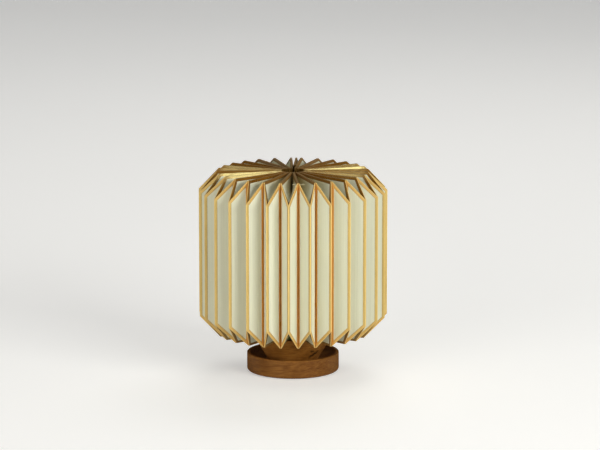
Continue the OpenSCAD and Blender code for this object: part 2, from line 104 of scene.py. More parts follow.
def angle_of(name, description, degrees):
    return FloatProperty(
        name=name, description=description, default=math.radians(degrees), subtype="ANGLE"
    )


def level(name, description, default):
    return FloatProperty(name=name, description=description, default=default, min=0.0)


def colour(name, description, default):
    return FloatVectorProperty(
        name=name, description=description, default=default, min=0.0, max=1.0, size=3, subtype="COLOR"
    )


class ShadeSizes(bpy.types.PropertyGroup):
    outer_radius: length("Outer folds", "Distance of the outer folds from the axis", OUTER_RADIUS)
    fold_radius: length("Inner folds", "Distance of the inner folds from the axis", 0.077)
    hub_radius: length("Hub", "Radius at which the upper panels end", HUB_RADIUS)
    foot_radius: length("Foot", "Radius at which the lower panels end", FOOT_RADIUS)
    shut_radius: length("Shut end", "Radius at which both panels of a shut page end", SHUT_RADIUS)
    shoulder: length("Shoulder", "Drop from the ridges to the reversed folds", 0.020)
    sheet: length("Sheet", "Thickness of a leaf with its veneer", 0.0008)
    veneer: length("Veneer", "Thickness of the veneer frame", 0.0003)
    border: length("Border", "Width of the veneer round each window", 0.0027)
    gap: length("Gap", "Gap between two pages at their inner folds", 0.0003)
    seam: angle_of("Seam", "Seam to the right of the front", 4)
    shut: angle_of("Shut page", "Angle that a shut page takes up", 3.9)


class ThreadSizes(bpy.types.PropertyGroup):
    ring: length("Ring", "Diameter of the binding threads", 0.001)
    tie: length("Tie", "Diameter of the tie through the seam", 0.0007)
    tie_length: length("Tie length", "Length of the tie", 0.011)


class Finishes(bpy.types.PropertyGroup):
    paper: colour("Paper", "Paper windows", (0.79, 0.80, 0.64))
    # painted shade: the paper's colour deep in the pleats near the spine
    paper_painted_shade: colour("Deep paper", "Paper towards the spine", (0.72, 0.60, 0.30))
    veneer_light: colour("Light veneer", "Pale streaks of the veneer frames", (0.70, 0.50, 0.18))
    veneer_dark: colour("Dark veneer", "Dark streaks of the veneer frames", (0.50, 0.30, 0.07))
    # painted light: the inner folds' veneer is coloured brighter and more orange, for light and warm
    # bounce in the valleys
    inner_light: colour("Light inner fold", "Pale streaks in the inner folds", (0.82, 0.43, 0.12))
    inner_dark: colour("Dark inner fold", "Dark streaks in the inner folds", (0.56, 0.25, 0.05))
    # painted shade: the veneer above and below is coloured darker brown, for the shade between the
    # pleats
    ridge_light: colour("Light ridge", "Pale streaks of veneer above and below", (0.30, 0.128, 0.012))
    ridge_dark: colour("Dark ridge", "Dark streaks of veneer above and below", (0.115, 0.041, 0.003))
    # painted shade: the veneer at the spine is coloured darker still, for the shade deep in the hub
    hub_light: colour("Light hub", "Pale streaks of veneer at the spine", (0.20, 0.105, 0.02))
    hub_dark: colour("Dark hub", "Dark streaks of veneer at the spine", (0.07, 0.033, 0.005))
    wood_light: colour("Light wood", "Pale streaks of the base and the bowl", (0.232, 0.096, 0.018))
    wood_dark: colour("Dark wood", "Dark streaks of the base and the bowl", (0.085, 0.027, 0.003))
    thread: colour("Thread", "Binding threads and tie", (0.50, 0.46, 0.26))
    felt: colour("Felt", "Pad under the base", (0.02, 0.02, 0.02))
    plastic: colour("Plastic", "Rear panel and button", (0.62, 0.60, 0.54))
    floor: colour("Floor", "Floor and backdrop", (0.80, 0.80, 0.79))


class StageSizes(bpy.types.PropertyGroup):
    camera_x: length("Camera x", "Sideways place of the camera", 0.0072)
    camera_away: length("Camera distance", "Distance of the camera in front of the axis", 3.269)
    camera_height: length("Camera height", "Height of the camera", 0.7732)
    camera_pitch: angle_of("Camera pitch", "Downward tilt of the camera", 10.78)
    lens: level("Lens", "Focal length in millimetres on a 36 mm sensor", 196.3)
    key: level("Key lamp", "Power of the lamp at the front right", 5.0)
    glint: level("Glint lamp", "Power of the wide, flat lamp beside the key", 44.0)
    fill: level("Fill lamp", "Power of the lamp at the front left", 40.0)
    rear: level("Rear lamp", "Power of the lamp behind", 16.0)
    top: level("Top lamp", "Power of the lamp overhead", 6.0)
    sky: level("Sky", "Strength of the light from all round", 0.04)
    glow: level("Pale floor", "Brightness added to the floor where it is seen", 0.5)


# ---- Modelling ---------------------------------------------------------------------------------

def deselect():
    if bpy.context.object and bpy.context.object.mode != "OBJECT":
        done()
    bpy.ops.object.select_all(action="DESELECT")


def select(piece, *others):
    """Selects these pieces and nothing else, and makes the first one active."""
    deselect()
    for one in (piece, *others):
        one.select_set(True)
    bpy.context.view_layer.objects.active = piece


def edit(piece):
    """Opens a piece in edit mode, selected all over."""
    select(piece)
    bpy.ops.object.mode_set(mode="EDIT")
    pick_all()


def done():
    bpy.ops.object.mode_set(mode="OBJECT")


def begin(primitive, name, **place):
    """Adds a primitive with its place in its mesh, and opens it in edit mode, selected all over."""
    deselect()
    primitive(**place)
    piece = bpy.context.object
    piece.name = piece.data.name = name
    bpy.ops.object.transform_apply(location=True, rotation=True, scale=True)
    edit(piece)
    return piece


def middle(edge):
    return (edge.verts[0].co + edge.verts[1].co) / 2


def span(edge):
    return edge.verts[0].co - edge.verts[1].co


def pick(piece, kind, where):
    """In edit mode, selects the vertices, edges or faces that pass a test, and nothing else."""
    bpy.ops.mesh.select_mode(type=kind)
    bpy.ops.mesh.select_all(action="DESELECT")
    cage = bmesh.from_edit_mesh(piece.data)
    for item in {"VERT": cage.verts, "EDGE": cage.edges, "FACE": cage.faces}[kind]:
        if where(item):
            item.select_set(True)
    cage.select_flush_mode()
    bmesh.update_edit_mesh(piece.data)


def pick_all():
    bpy.ops.mesh.select_all(action="SELECT")


def outward():
    pick_all()
    bpy.ops.mesh.normals_make_consistent(inside=False)


def move(x=0.0, y=0.0, z=0.0):
    bpy.ops.transform.translate(value=(x, y, z))


def scale(x=1.0, y=1.0, z=1.0, about=ORIGIN):
    bpy.ops.transform.resize(value=(x, y, z), center_override=about)


def extrude(x=0.0, y=0.0, z=0.0):
    bpy.ops.mesh.extrude_region_move(TRANSFORM_OT_translate={"value": (x, y, z)})


def smooth(piece, degrees=60):
    select(piece)
    bpy.ops.object.shade_smooth_by_angle(angle=math.radians(degrees))


def copy_of(piece, name, matrix):
    """A copy with a mesh of its own, whose place is in that mesh."""
    twin = piece.copy()
    twin.data = piece.data.copy()
    twin.name = twin.data.name = name
    twin.data.transform(matrix)
    bpy.context.scene.collection.objects.link(twin)
    return twin


# ---- Shader nodes ------------------------------------------------------------------------------

def join(tree, start, end):
    tree.links.new(start, end)


def feed(tree, socket, value):
    """Sets a socket to a constant, or joins it to the output that the value is."""
    if isinstance(value, (int, float, tuple)):
        socket.default_value = value
    else:
        join(tree, value, socket)


def maths(tree, operation, a, b=None, clamp=False):
    node = tree.nodes.new("ShaderNodeMath")
    node.operation = operation
    node.use_clamp = clamp
    feed(tree, node.inputs[0], a)
    if b is not None:
        feed(tree, node.inputs[1], b)
    return node.outputs[0]


def plus(tree, a, b, clamp=False):
    return maths(tree, "ADD", a, b, clamp)


def minus(tree, a, b, clamp=False):
    return maths(tree, "SUBTRACT", a, b, clamp)


def times(tree, a, b):
    return maths(tree, "MULTIPLY", a, b)


def vector_maths(tree, operation, a, b=None, output="Vector"):
    node = tree.nodes.new("ShaderNodeVectorMath")
    node.operation = operation
    feed(tree, node.inputs[0], a)
    if b is not None:
        feed(tree, node.inputs[1], b)
    return node.outputs[output]


def stretched(tree, vector, factors):
    return vector_maths(tree, "MULTIPLY", vector, factors)


def split(tree, vector):
    node = tree.nodes.new("ShaderNodeSeparateXYZ")
    join(tree, vector, node.inputs[0])
    return node.outputs


def object_place(tree):
    return tree.nodes.new("ShaderNodeTexCoord").outputs["Object"]


def from_axis(tree, place):
    """The distance from the lamp's axis."""
    return vector_maths(tree, "LENGTH", stretched(tree, place, (1.0, 1.0, 0.0)), output="Value")


def noise(tree, vector, size, detail=3.0, roughness=0.55):
    """Noise whose blotches are about this many metres across."""
    node = tree.nodes.new("ShaderNodeTexNoise")
    join(tree, vector, node.inputs["Vector"])
    node.inputs["Detail"].default_value = detail
    node.inputs["Roughness"].default_value = roughness
    fixed = isinstance(size, float)
    feed(tree, node.inputs["Scale"], 1 / size if fixed else maths(tree, "DIVIDE", 1.0, size))
    return node.outputs["Fac"]


def ramp(tree, value, low, high):
    """Spreads the stretch from low to high over 0 to 1."""
    node = tree.nodes.new("ShaderNodeMapRange")
    node.clamp = True
    join(tree, value, node.inputs["Value"])
    node.inputs["From Min"].default_value = low
    node.inputs["From Max"].default_value = high
    return node.outputs["Result"]


def fade(tree, value, low, high):
    """1 up to low, and from there down to 0 at high."""
    return minus(tree, 1.0, ramp(tree, value, low, high))


def rgba(value):
    return (value[0], value[1], value[2], 1.0)


def shifted(value, factor):
    return tuple(min(1.0, part * factor) for part in value)


def tones(tree, value, *colours):
    """Colours at even steps from 0 to 1, blended in between."""
    node = tree.nodes.new("ShaderNodeValToRGB")
    stops = node.color_ramp.elements
    while len(stops) < len(colours):
        stops.new(1.0)
    for number, (stop, tint) in enumerate(zip(stops, colours)):
        stop.position = number / (len(colours) - 1)
        stop.color = rgba(tint)
    join(tree, value, node.inputs["Fac"])
    return node.outputs["Color"]


def blend_colours(tree, mask, first, second):
    node = tree.nodes.new("ShaderNodeMix")
    node.data_type = "RGBA"
    ends = [socket for socket in node.inputs if socket.type == "RGBA"]
    for socket, value in zip((node.inputs["Factor"], *ends), (mask, first, second)):
        feed(tree, socket, value)
    return next(socket for socket in node.outputs if socket.type == "RGBA")


# ---- Shader groups -----------------------------------------------------------------------------

RING_PERIOD = 0.32  # from ring to ring of a Wave Texture whose scale is 1


def shader_group(name, outputs, **inputs):
    """The node group of this name. A new one comes with its inputs and outputs, and has to be filled.
    An input is a vector if its default is None, a colour if that has four parts, or else a number."""
    group = bpy.data.node_groups.get(name)
    if group:
        return group, None, None
    group = bpy.data.node_groups.new(name, "ShaderNodeTree")
    for label, default in inputs.items():
        kind = "Vector" if default is None else "Color" if isinstance(default, tuple) else "Float"
        label = label.replace("_", " ")
        socket = group.interface.new_socket(label, in_out="INPUT", socket_type="NodeSocket" + kind)
        if default is not None:
            socket.default_value = default
    for label in outputs:
        kind = "Color" if label == "Color" else "Float"
        group.interface.new_socket(label, in_out="OUTPUT", socket_type="NodeSocket" + kind)
    return group, group.nodes.new("NodeGroupInput").outputs, group.nodes.new("NodeGroupOutput").inputs


def use_group(tree, group, **values):
    node = tree.nodes.new("ShaderNodeGroup")
    node.node_tree = group
    for label, value in values.items():
        feed(tree, node.inputs[label.replace("_", " ")], value)
    return node.outputs


def grain_group():
    """Wood whose grain runs along X: growth rings, long fibres and pores."""
    group, given, out = shader_group(
        "Wood Grain", ("Color", "Roughness", "Height"), Vector=None, Light=(0.6, 0.4, 0.2, 1),
        Dark=(0.3, 0.2, 0.1, 1), Ring_Width=0.004, Fibre_Width=0.0006, Figure=2.0, Ring_Contrast=0.40,
        Fibre_Contrast=0.35,
    )
    if given is None:
        return group
    along = stretched(group, given["Vector"], (0.10, 1.0, 1.0))
    rings = group.nodes.new("ShaderNodeTexWave")
    rings.wave_type = "RINGS"
    rings.rings_direction = "X"
    rings.wave_profile = "SIN"
    join(group, along, rings.inputs["Vector"])
    join(group, maths(group, "DIVIDE", RING_PERIOD, given["Ring Width"]), rings.inputs["Scale"])
    join(group, given["Figure"], rings.inputs["Distortion"])
    rings.inputs["Detail"].default_value = 3.0
    rings.inputs["Detail Scale"].default_value = 0.6
    rings.inputs["Detail Roughness"].default_value = 0.6
    long, short = (stretched(group, given["Vector"], (share, 1.0, 1.0)) for share in (0.03, 0.12))
    fibres = noise(group, long, given["Fibre Width"], 4.0)
    broad = noise(group, along, 0.02)
    specks = noise(group, short, 0.0005, 2.0)
    pores = ramp(group, specks, 0.63, 0.72)
    tone = times(group, rings.outputs["Fac"], given["Ring Contrast"])
    tone = plus(group, tone, times(group, ramp(group, fibres, 0.3, 0.7), given["Fibre Contrast"]))
    tone = plus(group, tone, times(group, ramp(group, broad, 0.3, 0.7), 0.35), clamp=True)
    tone = minus(group, tone, times(group, pores, 0.35), clamp=True)
    join(group, blend_colours(group, tone, given["Dark"], given["Light"]), out["Color"])
    join(group, plus(group, times(group, fibres, 0.22), 0.36), out["Roughness"])
    join(group, minus(group, fibres, pores), out["Height"])
    return group


def soil_group():
    """Slow unevenness of colour and polish, as hands and dust leave it."""
    group, given, out = shader_group(
        "Handling", ("Color", "Mask"), Vector=None, Color=(0.5, 0.5, 0.5, 1), Tint=(0.3, 0.3, 0.3, 1),
        Patch_Size=0.02, Amount=0.3,
    )
    if given is None:
        return group
    patches = noise(group, given["Vector"], given["Patch Size"], 5.0, 0.6)
    mask = times(group, ramp(group, patches, 0.38, 0.75), given["Amount"])
    join(group, blend_colours(group, mask, given["Color"], given["Tint"]), out["Color"])
    join(group, mask, out["Mask"])
    return group


def fibre_group():
    """Short crossed fibres, as in paper, felt and cotton."""
    group, given, out = shader_group("Fibres", ("Mask",), Vector=None, Fibre_Width=0.0003)
    if given is None:
        return group
    layers = [
        noise(group, stretched(group, given["Vector"], factors), given["Fibre Width"], 3.0, 0.6)
        for factors in ((0.15, 1.0, 1.0), (1.0, 0.15, 1.0), (1.0, 1.0, 0.15))
    ]
    most = maths(group, "MAXIMUM", maths(group, "MAXIMUM", layers[0], layers[1]), layers[2])
    join(group, ramp(group, most, 0.45, 0.8), out["Mask"])
    return group


def wear_group():
    """A broken line along an edge, from the distance to that edge."""
    group, given, out = shader_group(
        "Edge Wear", ("Mask",), Vector=None, Distance=1.0, Reach=0.0005, Patch_Size=0.004
    )
    if given is None:
        return group
    patches = noise(group, given["Vector"], given["Patch Size"], 4.0, 0.65)
    reached = times(group, given["Reach"], ramp(group, patches, 0.25, 0.75))
    # a little is added to the reach, so that nothing is divided by zero
    near = maths(group, "DIVIDE", given["Distance"], plus(group, reached, 0.00002))
    join(group, minus(group, 1.0, near, clamp=True), out["Mask"])
    return group


# ---- Materials ---------------------------------------------------------------------------------

# the paper's painted shade, warm and darker, is full up to the first radius and gone from the second on
PAPER_SHADE_FULL, PAPER_SHADE_GONE = 0.025, 0.078
# the veneer's tone along each crease: one of four finishes at even steps from 0 to 1, or in between;
# the inner folds' finish is painted light, the ridges' and the hub's painted shade
OUTER_TONE, INNER_LIT_TONE, RIDGE_SHADE_TONE, HUB_SHADE_TONE = 0.0, 1 / 3, 2 / 3, 1.0
SHOULDER_TONE, VALLEY_TONE = 0.1, 0.12
STRIP_MAP = "strips"
CREASE_TONE = "crease_tone"
# the crack's half width and the knot's radius, where each is still quite dark and where it ends
CRACK_WIDTHS = (0.0003, 0.0018)
KNOT_RADII = (0.0012, 0.0028)
KNOT_FLATNESS = 1.6
RAGGEDNESS = 0.0045  # of the edges of both


def new_material(name, roughness, **constants):
    """A material with its Principled BSDF, whose constant sockets are set by name."""
    material = bpy.data.materials.new(name)
    material.use_nodes = True
    tree = material.node_tree
    shader = tree.nodes["Principled BSDF"]
    shader.inputs["Roughness"].default_value = roughness
    for label, value in constants.items():
        shader.inputs[label.replace("_", " ")].default_value = value
    return material, tree, shader


def bump(tree, shader, height, depth):
    node = tree.nodes.new("ShaderNodeBump")
    node.inputs["Distance"].default_value = depth
    join(tree, height, node.inputs["Height"])
    join(tree, node.outputs["Normal"], shader.inputs["Normal"])


def dull_at_edges(tree, shader, roughness, amount):
    """Takes the gloss off where the surface is seen at a flat angle, as on wood without lacquer."""
    facing = tree.nodes.new("ShaderNodeLayerWeight").outputs["Facing"]
    flat = times(tree, ramp(tree, facing, 0.4, 0.9), amount)
    join(tree, plus(tree, roughness, flat, clamp=True), shader.inputs["Roughness"])


def paper_material(finish):
    """Laid paper: upright lines, crossed fibres, warmer patches, and painted shade, warm and darker,
    towards the spine.
    """
    material, tree, shader = new_material("paper window", 0.85, Specular_IOR_Level=0.2)
    place = object_place(tree)
    fibres = use_group(tree, fibre_group(), Vector=place, Fibre_Width=0.0007)["Mask"]
    lines = ramp(tree, noise(tree, stretched(tree, place, (1.0, 1.0, 0.012)), 0.0011, 2.0), 0.35, 0.65)
    sheet = blend_colours(tree, fibres, rgba(finish.paper), rgba(shifted(finish.paper, 0.93)))
    laid = blend_colours(tree, times(tree, lines, 0.6), sheet, rgba(shifted(finish.paper, 0.86)))
    yellowed = tuple(part * share for part, share in zip(finish.paper, (0.97, 0.93, 0.85)))
    aged = use_group(
        tree, soil_group(), Vector=place, Color=laid, Patch_Size=0.05, Amount=0.35, Tint=rgba(yellowed)
    )
    # painted shade: warmer and darker towards the spine, where the pleats are deep and narrow
    painted_shade = times(tree, fade(tree, from_axis(tree, place), PAPER_SHADE_FULL, PAPER_SHADE_GONE), 0.8)
    final = blend_colours(tree, painted_shade, aged["Color"], rgba(finish.paper_painted_shade))
    join(tree, final, shader.inputs["Base Color"])
    bump(tree, shader, plus(tree, fibres, times(tree, lines, 0.5)), 0.00004)
    return material


def veneer_material(finish, width):
    """Veneer strips of this width: golden on the outer folds, orange in the inner ones, painted
    brighter there as painted light, and brown above, below and at the spine, painted darker there as
    painted shade; worn pale along the folds, partly a painted highlight, and burnt dark along the cut,
    partly painted shade."""
    material, tree, shader = new_material("veneer", 0.4, IOR=1.95, Specular_Tint=(1.0, 0.92, 0.42, 1.0))
    strips = tree.nodes.new("ShaderNodeUVMap")
    strips.uv_map = STRIP_MAP
    crease = tree.nodes.new("ShaderNodeAttribute")
    crease.attribute_name = CREASE_TONE
    tone = crease.outputs["Fac"]
    place = object_place(tree)
    # each strip takes its own stretch of the log: along it, across it, and a shift with its place
    shift = stretched(tree, place, (0.9, 1.3, 0.0))
    log = vector_maths(tree, "ADD", stretched(tree, strips.outputs["UV"], (1.0, width, 0.0)), shift)
    # painted light in the inner folds' colours, painted shade in the ridges' and the hub's
    creases = ("veneer", "inner", "ridge", "hub")
    light = tones(tree, tone, *(getattr(finish, crease + "_light") for crease in creases))
    dark = tones(tree, tone, *(getattr(finish, crease + "_dark") for crease in creases))
    grain = use_group(
        tree, grain_group(), Vector=log, Ring_Width=0.0016, Fibre_Width=0.00035, Figure=1.2,
        Light=light, Dark=dark,
    )
    soiled = use_group(
        tree, soil_group(), Vector=place, Color=grain["Color"], Patch_Size=0.03, Amount=0.5, Tint=dark
    )
    from_fold = times(tree, split(tree, strips.outputs["UV"])["Y"], width)
    # paler along the outer folds and shoulders: partly wear, partly a painted highlight where the folds
    # catch light
    worn = use_group(tree, wear_group(), Vector=place, Distance=from_fold, Reach=0.0011)
    # darker along the cut by the paper: partly a burnt edge, partly painted shade at the edge of the
    # sheet
    from_paper = minus(tree, width, from_fold)
    cut = use_group(tree, wear_group(), Vector=place, Distance=from_paper, Reach=0.0007)
    outside = minus(tree, 1.0, maths(tree, "DIVIDE", tone, INNER_LIT_TONE), clamp=True)
    pale = times(tree, worn["Mask"], times(tree, outside, 0.75))
    rubbed_and_highlit = blend_colours(tree, pale, soiled["Color"], rgba(shifted(finish.veneer_light, 1.25)))
    burnt_and_shade = rgba(shifted(finish.ridge_dark, 0.5))
    final = blend_colours(tree, times(tree, cut["Mask"], 0.8), rubbed_and_highlit, burnt_and_shade)
    join(tree, final, shader.inputs["Base Color"])
    polish = plus(tree, times(tree, tone, 0.24), 0.06)
    dull_at_edges(tree, shader, minus(tree, grain["Roughness"], polish), 0.6)
    bump(tree, shader, grain["Height"], 0.00005)
    return material


def wood_material(finish, name, shift, edges, painted_light_gain=1.0, crack=None):
    """Turned wood with its grain level, from left to right. Edges, as (radius, height), are painted
    pale, partly as wear and partly as a painted highlight; a gain above 1 lightens it all over as
    painted light.
    """
    material, tree, shader = new_material(name, 0.45, Specular_IOR_Level=0.12)
    place = object_place(tree)
    log = tree.nodes.new("ShaderNodeMapping")
    log.vector_type = "POINT"
    log.inputs["Location"].default_value = shift
    log.inputs["Rotation"].default_value = (0.0, math.radians(3), math.radians(4))
    log.inputs["Scale"].default_value = (2.2, 0.3, 1.0)
    join(tree, place, log.inputs["Vector"])
    grain = use_group(
        tree, grain_group(), Vector=log.outputs[0], Ring_Width=0.0060, Fibre_Width=0.0013, Figure=6.0,
        Ring_Contrast=0.20, Fibre_Contrast=0.85,
        Light=rgba(shifted(finish.wood_light, painted_light_gain)), Dark=rgba(shifted(finish.wood_dark, painted_light_gain)),
    )
    soiled = use_group(
        tree, soil_group(), Vector=place, Color=grain["Color"], Patch_Size=0.022, Amount=0.6,
        Tint=rgba(shifted(finish.wood_dark, 1.3)),
    )
    final = soiled["Color"]
    own_radius, own_height = from_axis(tree, place), split(tree, place)["Z"]
    # pale lines along the edges: partly wear, partly a painted highlight where the rim catches light
    for radius, height in edges:
        out = maths(tree, "ABSOLUTE", minus(tree, own_radius, radius))
        up = maths(tree, "ABSOLUTE", minus(tree, own_height, height))
        worn = use_group(tree, wear_group(), Vector=place, Distance=plus(tree, out, up), Reach=0.0022)
        rubbed_and_highlit = rgba(shifted(finish.wood_light, 1.5))
        final = blend_colours(tree, times(tree, worn["Mask"], 0.6), final, rubbed_and_highlit)
    if crack:
        shadow = rgba(shifted(finish.wood_dark, 0.3))
        final = blend_colours(tree, crack_mask(tree, place, *crack), final, shadow)
    join(tree, final, shader.inputs["Base Color"])
    dull_at_edges(tree, shader, grain["Roughness"], 0.5)
    bump(tree, shader, grain["Height"], 0.00008)
    return material


def crack_mask(tree, place, start, end, knot):
    """A drying crack from start to end with a knot beside it, on the front. Places are (x, z) pairs."""
    ragged = times(tree, minus(tree, noise(tree, place, 0.003, 4.0), 0.5), RAGGEDNESS)
    across, rise = end[0] - start[0], end[1] - start[1]
    half = math.hypot(across, rise) / 2
    line = tree.nodes.new("ShaderNodeMapping")
    line.vector_type = "TEXTURE"
    line.inputs["Location"].default_value = ((start[0] + end[0]) / 2, 0.0, (start[1] + end[1]) / 2)
    line.inputs["Rotation"].default_value = (0.0, -math.atan2(rise, across), 0.0)
    join(tree, place, line.inputs["Vector"])
    along = split(tree, line.outputs[0])
    off = maths(tree, "ABSOLUTE", plus(tree, along["Z"], ragged))
    inside = fade(tree, maths(tree, "ABSOLUTE", along["X"]), half * 0.5, half)
    crack = times(tree, fade(tree, off, *CRACK_WIDTHS), inside)
    flattened = stretched(tree, place, (1.0, 0.0, KNOT_FLATNESS))
    centre = (knot[0], 0.0, knot[1] * KNOT_FLATNESS)
    from_knot = vector_maths(tree, "DISTANCE", flattened, centre, output="Value")
    eye = fade(tree, plus(tree, from_knot, ragged), *KNOT_RADII)
    both = maths(tree, "MAXIMUM", crack, times(tree, eye, 0.8))
    return times(tree, both, maths(tree, "LESS_THAN", along["Y"], 0.0))


def plain_material(
    name, tint, roughness, patch=0.012, amount=0.35, grit=0.0004, depth=0.00002, **constants
):
    """Moulded, rolled or coated stuff: slightly uneven in colour, with a fine grit in its surface."""
    material, tree, shader = new_material(name, roughness, **constants)
    place = object_place(tree)
    worn = use_group(
        tree, soil_group(), Vector=place, Color=rgba(tint), Tint=rgba(shifted(tint, 0.72)),
        Patch_Size=patch, Amount=amount,
    )
    join(tree, worn["Color"], shader.inputs["Base Color"])
    join(tree, plus(tree, times(tree, worn["Mask"], 0.25), roughness), shader.inputs["Roughness"])
    bump(tree, shader, noise(tree, place, grit, 2.0), depth)
    return material


def fibre_material(name, tint, shade, fibre_width, depth, roughness, **constants):
    """Felt or cotton: fibres of two tones, the second so many times the first."""
    material, tree, shader = new_material(name, roughness, **constants)
    fibres = use_group(tree, fibre_group(), Vector=object_place(tree), Fibre_Width=fibre_width)["Mask"]
    final = blend_colours(tree, fibres, rgba(tint), rgba(shifted(tint, shade)))
    join(tree, final, shader.inputs["Base Color"])
    bump(tree, shader, fibres, depth)
    return material


def dress(material, *nodes):
    """Gives CAD nodes a material."""
    for name in nodes:
        mesh = NODES[name].data
        mesh.materials.clear()
        mesh.materials.append(material)


# ---- The pages ---------------------------------------------------------------------------------

VENEER, PAPER = 0, 1  # a page's material slots
CREASE_GAP = 0.00006
FLAP_CUTS = 6  # along the twisted upper and lower panels
STRIP_SPACING = 0.05  # from strip to strip along the log that they are cut from


def page_angle(shade, page):
    """The angle that a page takes up round the spine."""
    shut = len(SHUT) * shade.shut
    return shade.shut if page in SHUT else (2 * math.pi - shut) / (len(PAGES) - len(SHUT))


def headings(shade):
    """Each page with the heading of its own plane, in order round the spine from the seam."""
    edge = shade.seam - math.pi / 2
    for page in PAGES:
        angle = page_angle(shade, page)
        yield page, edge + angle / 2
        edge += angle


def seat(piece, shade, page, heading, slot, node):
    """Seats a page, or what is sewn into it, on the page's body, and hides the node that it stands for."""
    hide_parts(node)
    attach(piece, BODY_OF[page])
    if page not in SHUT:
        wide = page_angle(shade, page)
        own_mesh(piece)


def seat_copies(shade, in_open, in_shut, prefix, slot, node=None, height=0.0):
    """Seats a copy of one of two patterns in every page, for a node or for the page itself, and
    removes the patterns."""
    for page, heading in headings(shade):
        place = Matrix.Translation((0, 0, height)) @ Matrix.Rotation(heading, 4, "Z")
        piece = copy_of(in_shut if page in SHUT else in_open, prefix + page[-2:], place)
        seat(piece, shade, page, heading, slot, node or page)
    bpy.data.objects.remove(in_open)
    bpy.data.objects.remove(in_shut)


def half_width(shade, radius, angle):
    """Half of a page's width at a radius, to the middle of its sheet."""
    return radius * math.tan(angle / 2) - (shade.gap + shade.sheet) / 2


def fold_leaf(shade, angle, hub, foot):
    """The lower, side and upper panel of one leaf, not yet thick. The page's own plane is y = 0."""
    inner = shade.fold_radius * math.cos(angle / 2)
    depth = shade.outer_radius - inner
    leaf = begin(bpy.ops.mesh.primitive_plane_add, "panel", size=1, rotation=(math.pi / 2, 0, 0))
    scale(depth, 1, PAGE_HEIGHT)
    move(inner + depth / 2, 0, PAGE_HEIGHT / 2)
    # the outer fold is shorter than the inner one by the two shoulders
    pick(leaf, "VERT", lambda v: v.co.x > inner + depth / 2)
    scale(z=1 - 2 * shade.shoulder / PAGE_HEIGHT, about=(0, 0, PAGE_HEIGHT / 2))
    # the upper and the lower panel are drawn in from the slanted edges
    for height, end in ((PAGE_HEIGHT - shade.shoulder / 2, hub), (shade.shoulder / 2, foot)):
        pick(leaf, "EDGE", lambda e: abs(middle(e).z - height) < TOLERANCE)
        extrude()
        scale(x=0, about=(end, 0, 0))
    # the ridges and the inner fold stand off the page's plane, and the rest stays in it
    for x, z in ((inner, 0), (inner, PAGE_HEIGHT), (hub, PAGE_HEIGHT), (foot, 0)):
        pick(leaf, "VERT", lambda v: abs(v.co.x - x) < TOLERANCE and abs(v.co.z - z) < TOLERANCE)
        move(y=half_width(shade, x, angle))
    pick(leaf, "EDGE", lambda e: len(e.link_faces) == 2)
    bpy.ops.mesh.edge_split(type="EDGE")
    pick_all()
    bpy.ops.mesh.separate(type="LOOSE")
    done()
    panels = bpy.context.selected_objects
    return sorted(panels, key=lambda panel: sum(v.co.z for v in panel.data.vertices))


def lay_strips(panel, shoulder_tone):
    """Maps each mitred strip along its fold in metres, and across it from 0 at the fold to 1 at the
    paper, and gives it the tone of its crease."""
    mesh = panel.data
    mesh.uv_layers[0].name = STRIP_MAP
    mesh.attributes.new(CREASE_TONE, "FLOAT", "CORNER")
    strips = mesh.uv_layers[STRIP_MAP]
    depths = mesh.attributes[CREASE_TONE]
    window = {i for face in mesh.polygons if face.material_index == PAPER for i in face.vertices}
    for face in mesh.polygons:
        fold = [mesh.vertices[i].co for i in face.vertices if i not in window]
        if not fold:
            continue
        along = (fold[1] - fold[0]).normalized()
        off_plane = [abs(corner.y) > TOLERANCE for corner in fold]
        level_fold, upright_fold = abs(along.z) < 0.01, abs(along.z) > 0.99
        # inner folds take painted light, ridges and the ends at the spine painted shade
        if all(off_plane):
            tone = RIDGE_SHADE_TONE if level_fold else INNER_LIT_TONE
        elif any(off_plane):
            tone = HUB_SHADE_TONE if upright_fold else shoulder_tone
        else:
            tone = VALLEY_TONE if level_fold else OUTER_TONE
        for loop, vertex in zip(face.loop_indices, face.vertices):
            distance = mesh.vertices[vertex].co.dot(along) + STRIP_SPACING * face.index
            strips.data[loop].uv = (distance, 1.0 if vertex in window else 0.0)
            depths.data[loop].value = tone


def build_panel(panel, shade, outer, cuts):
    """Turns one panel into a sheet with a raised veneer frame on the side that outer gives, 1 or -1."""
    edit(panel)
    bpy.ops.mesh.inset(thickness=shade.border, use_individual=True, use_even_offset=True)
    panel.active_material_index = PAPER
    bpy.ops.object.material_slot_assign()
    done()
    # the slanted strips of the upper and lower panels take the ridges' painted shade
    lay_strips(panel, SHOULDER_TONE if outer > 0 else RIDGE_SHADE_TONE)
    edit(panel)
    if cuts:
        # the long edges, from the side panel to the spine
        pick(panel, "EDGE", lambda e: abs(span(e).x) > 1.5 * shade.shoulder)
        bpy.ops.mesh.subdivide(number_cuts=cuts)
    pick_all()
    move(y=outer * (shade.sheet / 2 - shade.veneer))
    extrude(y=-outer * (shade.sheet - shade.veneer))
    outward()
    pick(panel, "FACE", lambda f: f.normal.y * outer > 0.2 and f.material_index == VENEER)
    extrude(y=outer * shade.veneer)
    outward()
    done()


